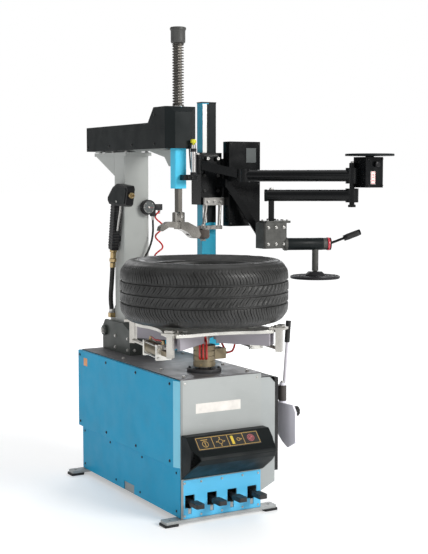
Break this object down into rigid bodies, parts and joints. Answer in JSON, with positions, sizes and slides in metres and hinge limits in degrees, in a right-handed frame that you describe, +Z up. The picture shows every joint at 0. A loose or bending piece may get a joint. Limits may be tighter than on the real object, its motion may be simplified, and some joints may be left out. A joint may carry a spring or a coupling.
{
  "type": "tire changer machine",
  "caption": "Swing-back column tyre changer: pedal cabinet, clamping turntable, sprung tool shaft, side bead breaker and right-hand assist arm, shown with a tyre on the table.",
  "frame": {"origin": "on the floor at the centre of the four anchor holes", "axes": "+Z up, front with the pedals towards -Y, assist arm and bead breaker towards +X"},
  "size_m": [1.3917, 1.3868, 2.025],
  "materials": {
    "steel_dark": "satin",
    "pad_rubber": "matt",
    "cabinet_grey": "satin",
    "cabinet_top_grey": "satin",
    "cover_blue": "satin gloss",
    "panel_grey": "satin",
    "plate_blue": "satin gloss",
    "moulding_black": "satin moulded",
    "plain_steel": "turned",
    "cast_black": "painted casting",
    "belt_rubber": "matt",
    "cylinder_grey": "satin",
    "fitting_brass": "turned",
    "bracket_grey": "satin",
    "base_grey": "satin",
    "post_blue": "satin gloss",
    "pedal_black": "powder coat",
    "pulley_iron": "machined",
    "zinc_plate": "zinc plated",
    "guide_lilac": "satin",
    "coupling_zinc": "yellow passivated zinc",
    "jaw_steel": "machined",
    "tyre_rubber": "used tread",
    "column_grey": "satin",
    "gauge_black": "satin",
    "hose_black": "satin",
    "hose_red": "semi gloss",
    "beam_grey": "satin",
    "lock_steel": "satin",
    "button_yellow": "gloss",
    "spring_steel": "phosphated",
    "tool_chrome": "polished",
    "arm_dark": "satin",
    "blade_grey": "satin",
    "assist_black": "semi gloss",
    "bright_steel": "zinc plated",
    "roller_plastic": "moulded",
    "block_cast": "rough casting",
    "disc_black": "moulded"
  },
  "bodies": {
    "cabinet": {"foot_bars": "steel_dark", "foot_pads": "pad_rubber", "cabinet_frame": "cabinet_grey", "top_plate": "cabinet_top_grey", "side_cover": "cover_blue", "front_panel": "panel_grey", "pedal_plate": "plate_blue", "pedal_hood": "moulding_black", "pedal_shaft": "plain_steel", "gearbox": "cast_black", "drive_motor": "cast_black", "drive_belt": "belt_rubber", "breaker_cylinder": "cylinder_grey", "tilt_cylinder": "cylinder_grey", "air_inlet": "fitting_brass", "wheel_pad_bracket": "bracket_grey", "wheel_pad": "pad_rubber", "column_base": "base_grey", "assist_post": "post_blue"},
    "pedal_tilt": {"pedal_tilt": "pedal_black"},
    "pedal_breaker": {"pedal_breaker": "pedal_black"},
    "pedal_jaws": {"pedal_jaws": "pedal_black"},
    "pedal_turntable": {"pedal_turntable": "pedal_black"},
    "gearbox_pulley": {"gearbox_pulley": "pulley_iron"},
    "motor_pulley": {"motor_pulley": "pulley_iron"},
    "turntable": {"turntable_plate": "zinc_plate", "turntable_shaft": "plain_steel", "slide_guides": "guide_lilac", "rotary_coupling": "coupling_zinc"},
    "jaw_1": {"clamp_jaw_1": "jaw_steel"},
    "jaw_2": {"clamp_jaw_2": "jaw_steel"},
    "jaw_3": {"clamp_jaw_3": "jaw_steel"},
    "jaw_4": {"clamp_jaw_4": "jaw_steel"},
    "tyre": {"loaded_tyre": "tyre_rubber"},
    "column": {"column_tube": "column_grey", "pressure_gauge": "gauge_black", "column_unions": "fitting_brass", "column_hoses": "hose_black", "coil_hose": "hose_red", "inflator_gun": "gauge_black"},
    "arm": {"arm_beam": "beam_grey", "arm_cover": "moulding_black", "guide_tube": "post_blue", "lock_cylinder": "lock_steel", "return_spring": "spring_steel"},
    "lock_button": {"lock_button": "button_yellow"},
    "tool": {"tool_shaft": "spring_steel", "mount_head": "tool_chrome"},
    "breaker_arm": {"breaker_arm": "arm_dark"},
    "breaker_blade": {"breaker_blade": "blade_grey"},
    "breaker_rod": {"breaker_rod": "plain_steel"},
    "carriage": {"carriage": "assist_black", "carriage_cover": "assist_black", "roller_bracket": "bright_steel"},
    "bead_roller": {"bead_roller": "roller_plastic"},
    "upper_link": {"upper_link": "assist_black"},
    "lower_link": {"lower_link": "assist_black"},
    "press_block": {"press_block": "block_cast"},
    "press_lever": {"press_lever": "assist_black"},
    "press_disc": {"press_disc": "disc_black"}
  },
  "joints": [
    {"name": "turntable_spin", "type": "hinge", "parent": "cabinet", "child": "turntable", "pos_m": [0, -0.343, 0.7], "axis": [0, 0, 1], "continuous": true},
    {"name": "gearbox_pulley_spin", "type": "hinge", "parent": "cabinet", "child": "gearbox_pulley", "pos_m": [-0.112, -0.29, 0.5], "axis": [1, 0, 0], "continuous": true},
    {"name": "motor_pulley_spin", "type": "hinge", "parent": "cabinet", "child": "motor_pulley", "pos_m": [-0.112, -0.13, 0.19], "axis": [1, 0, 0], "continuous": true},
    {"name": "jaw_1_slide", "type": "slide", "parent": "turntable", "child": "jaw_1", "axis": [0.7986, 0.6018, 0], "range_m": [0, 0.09]},
    {"name": "jaw_2_slide", "type": "slide", "parent": "turntable", "child": "jaw_2", "axis": [0.6018, -0.7986, 0], "range_m": [0, 0.09]},
    {"name": "jaw_3_slide", "type": "slide", "parent": "turntable", "child": "jaw_3", "axis": [-0.7986, -0.6018, 0], "range_m": [0, 0.09]},
    {"name": "jaw_4_slide", "type": "slide", "parent": "turntable", "child": "jaw_4", "axis": [-0.6018, 0.7986, 0], "range_m": [0, 0.09]},
    {"name": "tyre_lift", "type": "slide", "parent": "turntable", "child": "tyre", "axis": [0, 0, 1], "range_m": [0, 0.06]},
    {"name": "column_tilt", "type": "hinge", "parent": "cabinet", "child": "column", "pos_m": [0, 0.44, 0.678], "axis": [1, 0, 0], "range_deg": [-35, 0]},
    {"name": "arm_slide", "type": "slide", "parent": "column", "child": "arm", "axis": [0, -1, 0], "range_m": [-0.1, 0.13]},
    {"name": "tool_shaft_slide", "type": "slide", "parent": "arm", "child": "tool", "axis": [0, 0, 1], "range_m": [-0.06, 0], "stiffness_N_per_m": 3000, "springref_m": 0.06, "deforming": ["return_spring"]},
    {"name": "lock_button_press", "type": "slide", "parent": "arm", "child": "lock_button", "axis": [0, 0, -1], "range_m": [0, 0.004], "stiffness_N_per_m": 800, "springref_m": -0.003},
    {"name": "breaker_swing", "type": "hinge", "parent": "cabinet", "child": "breaker_arm", "pos_m": [0.24, 0.43, 0.47], "axis": [0, 0, 1], "range_deg": [-1.5, 35]},
    {"name": "blade_pivot", "type": "hinge", "parent": "breaker_arm", "child": "breaker_blade", "pos_m": [0.356, -0.395, 0.47], "axis": [0, 0, 1], "range_deg": [-15, 15]},
    {"name": "breaker_rod_slide", "type": "slide", "parent": "cabinet", "child": "breaker_rod", "axis": [1, 0, 0], "range_m": [-0.006, 0.123]},
    {"name": "pedal_tilt_press", "type": "hinge", "parent": "cabinet", "child": "pedal_tilt", "pos_m": [-0.15, -0.38, 0.092], "axis": [1, 0, 0], "range_deg": [0, 6]},
    {"name": "pedal_breaker_press", "type": "hinge", "parent": "cabinet", "child": "pedal_breaker", "pos_m": [-0.047, -0.38, 0.092], "axis": [1, 0, 0], "range_deg": [0, 6], "stiffness_Nm_per_rad": 12, "springref_deg": -11.46},
    {"name": "pedal_jaws_press", "type": "hinge", "parent": "cabinet", "child": "pedal_jaws", "pos_m": [0.048, -0.38, 0.092], "axis": [1, 0, 0], "range_deg": [0, 6]},
    {"name": "pedal_turntable_press", "type": "hinge", "parent": "cabinet", "child": "pedal_turntable", "pos_m": [0.144, -0.38, 0.092], "axis": [1, 0, 0], "range_deg": [0, 6], "stiffness_Nm_per_rad": 12, "springref_deg": -11.46},
    {"name": "carriage_lift", "type": "slide", "parent": "cabinet", "child": "carriage", "axis": [0, 0, 1], "range_m": [0, 0.15]},
    {"name": "upper_link_swing", "type": "hinge", "parent": "carriage", "child": "upper_link", "pos_m": [0.262, 0.178, 1.449], "axis": [0, 0, 1], "range_deg": [-20, 5]},
    {"name": "lower_link_swing", "type": "hinge", "parent": "upper_link", "child": "lower_link", "pos_m": [0.86, -0.2, 1.31], "axis": [0, 0, 1], "range_deg": [-5, 35]},
    {"name": "press_block_swivel", "type": "hinge", "parent": "lower_link", "child": "press_block", "pos_m": [0.54, -0.015, 1.15], "axis": [0, 0, 1], "range_deg": [-15, 15]},
    {"name": "press_lever_turn", "type": "hinge", "parent": "press_block", "child": "press_lever", "pos_m": [0.782, -0.112, 1.086], "axis": [0.9282, -0.3721, 0], "range_deg": [-30, 30]},
    {"name": "press_disc_spin", "type": "hinge", "parent": "press_block", "child": "press_disc", "pos_m": [0.733, -0.092, 0.94], "axis": [0, 0, 1], "continuous": true},
    {"name": "bead_roller_spin", "type": "hinge", "parent": "carriage", "child": "bead_roller", "pos_m": [0.3, 0.196, 1.13], "axis": [0, 0, 1], "continuous": true}
  ],
  "couplings": [
    {"joint": "gearbox_pulley_spin", "follows": "turntable_spin", "ratio": 60},
    {"joint": "motor_pulley_spin", "follows": "turntable_spin", "ratio": 180},
    {"joint": "jaw_2_slide", "follows": "jaw_1_slide", "ratio": 1},
    {"joint": "jaw_3_slide", "follows": "jaw_1_slide", "ratio": 1},
    {"joint": "jaw_4_slide", "follows": "jaw_1_slide", "ratio": 1},
    {"joint": "breaker_rod_slide", "follows": "breaker_swing", "m_per_rad": 0.2}
  ]
}
